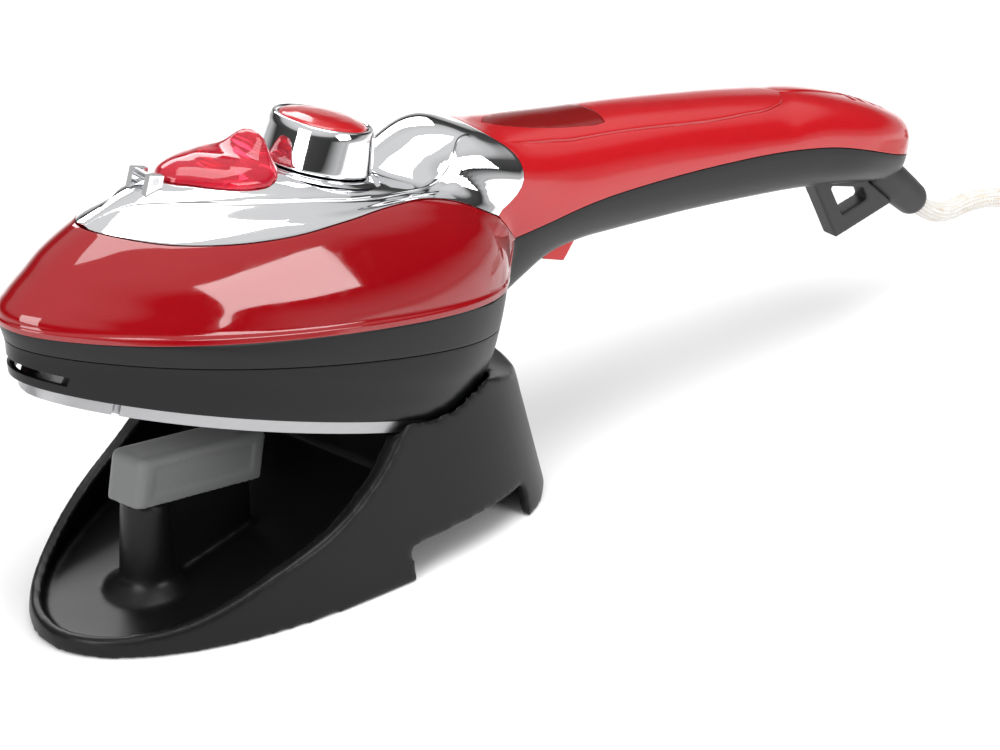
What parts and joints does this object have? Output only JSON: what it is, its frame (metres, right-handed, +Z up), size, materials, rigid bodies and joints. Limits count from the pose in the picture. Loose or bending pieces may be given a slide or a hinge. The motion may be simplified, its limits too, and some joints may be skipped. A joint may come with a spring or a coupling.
{
  "type": "hand-held steam iron with stand",
  "caption": "Hand-held steam iron with a see-through water tank, chrome top, turning dial and trigger, parked nose-up on a moulded stand.",
  "frame": {"origin": "On the floor under the middle of the iron and its stand, the mains cord left out.", "axes": "+X from the nose of the iron to the tail of its handle, +Z up, +Y to the far side."},
  "size_m": [0.5239, 0.1667, 0.126],
  "materials": {
    "stand_plastic": "fine satin moulding",
    "pad_silicone": "matt silicone",
    "sole_metal": "brushed, light grey",
    "skirt_plastic": "satin",
    "tank_red": "glossy see-through red",
    "chrome_cover": "mirror",
    "handle_red": "glossy red",
    "handle_dark": "satin charcoal",
    "lid_red": "clear red",
    "window_red": "dark clear red",
    "dial_chrome": "mirror",
    "cap_red": "glossy",
    "trigger_red": "satin red",
    "inner_metal": "cast",
    "inner_steel": "drawn",
    "inner_white": "plain",
    "seal_rubber": "soft",
    "cord_fabric": "white braid with gold flecks",
    "plug_black": "satin",
    "pin_metal": "nickel"
  },
  "bodies": {
    "stand": {"stand_shell": "stand_plastic", "support_pad": "pad_silicone"},
    "dial": {"temperature_dial": "dial_chrome", "dial_cap": "cap_red", "dial_spindle": "inner_steel"},
    "lid": {"filler_lid": "lid_red", "filler_seal": "lid_red"},
    "trigger": {"steam_trigger": "trigger_red"},
    "plunger": {"valve_plunger": "inner_white"},
    "iron": {"sole_plate": "sole_metal", "lower_skirt": "skirt_plastic", "upper_skirt": "skirt_plastic", "water_tank": "tank_red", "tank_floor": "tank_red", "top_cover": "chrome_cover", "filler_neck": "lid_red", "handle_upper": "handle_red", "indicator_window": "window_red", "handle_lower": "handle_dark", "lid_pin": "inner_steel", "lid_hinge_lug_1": "chrome_cover", "lid_hinge_lug_2": "chrome_cover", "trigger_pin": "inner_steel", "trigger_spring": "inner_steel", "valve_body": "inner_white", "water_tube": "inner_white", "heater_casting": "inner_metal", "heating_element": "inner_steel", "chamber_gasket": "seal_rubber", "chamber_cover": "inner_steel", "thermostat": "inner_white", "thermal_fuse": "inner_white", "spindle_sleeve": "tank_red", "terminal_block": "inner_white", "indicator_lamp": "window_red", "mains_lead_1": "seal_rubber", "mains_lead_2": "seal_rubber", "cord_clamp": "inner_white", "cord_guard": "plug_black", "hanging_loop": "plug_black", "handle_screw_1": "inner_steel", "handle_screw_2": "inner_steel", "cord": "cord_fabric", "cord_coil": "cord_fabric", "cord_end": "cord_fabric", "plug_body": "plug_black", "plug_prong_1": "pin_metal", "plug_prong_2": "pin_metal"}
  },
  "joints": [
    {"name": "lift_off_stand", "type": "slide", "parent": "stand", "child": "iron", "axis": [0, 0, 1], "range_m": [0, 0.12]},
    {"name": "dial_turn", "type": "hinge", "parent": "iron", "child": "dial", "pos_m": [-0.0708, -0.0056, 0.11368], "axis": [0.2957, 0, 0.9553], "range_deg": [0, 270]},
    {"name": "lid_open", "type": "hinge", "parent": "iron", "child": "lid", "pos_m": [-0.12809, -0.0056, 0.12137], "axis": [0, -1, 0], "range_deg": [0, 95]},
    {"name": "trigger_press", "type": "hinge", "parent": "iron", "child": "trigger", "pos_m": [0.02244, -0.0056, 0.0686], "axis": [0, 1, 0], "range_deg": [0, 12], "stiffness_Nm_per_rad": 0.6, "springref_deg": -5.73},
    {"name": "plunger_travel", "type": "slide", "parent": "iron", "child": "plunger", "axis": [0.2957, 0, 0.9553], "range_m": [0, 0.0026]}
  ],
  "couplings": [
    {"joint": "plunger_travel", "follows": "trigger_press", "m_per_rad": 0.0115}
  ]
}
